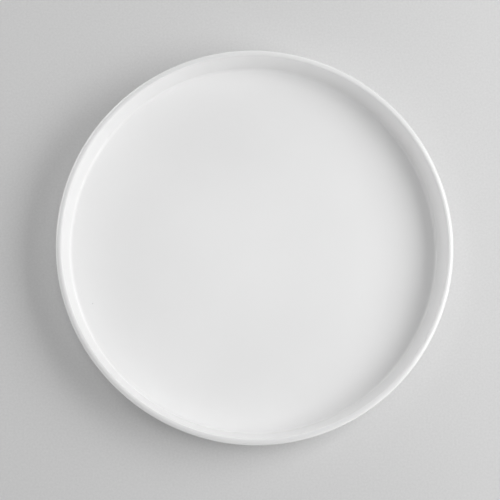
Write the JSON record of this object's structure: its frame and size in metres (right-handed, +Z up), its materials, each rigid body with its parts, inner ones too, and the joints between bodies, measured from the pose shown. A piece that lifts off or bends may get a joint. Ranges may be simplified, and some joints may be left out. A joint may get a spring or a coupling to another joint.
{
  "type": "dinner plate",
  "caption": "Round walled plate: flat floor, low wall leaning out to a full-round lip, foot ring underneath. White glazed porcelain, bare where it stands.",
  "frame": {"origin": "on the plate's axis, at the height of the foot ring's bearing face, where it meets the table", "axes": "+Z up along the plate's axis, out of the well; the plate is round, so X and Y may point any way across it"},
  "size_m": [0.27, 0.27, 0.028],
  "materials": {
    "bare_porcelain": "matte",
    "white_glaze": "gloss"
  },
  "bodies": {
    "root": {"porcelain_body": "bare_porcelain", "face_glaze": "white_glaze", "base_glaze": "white_glaze"}
  },
  "joints": []
}
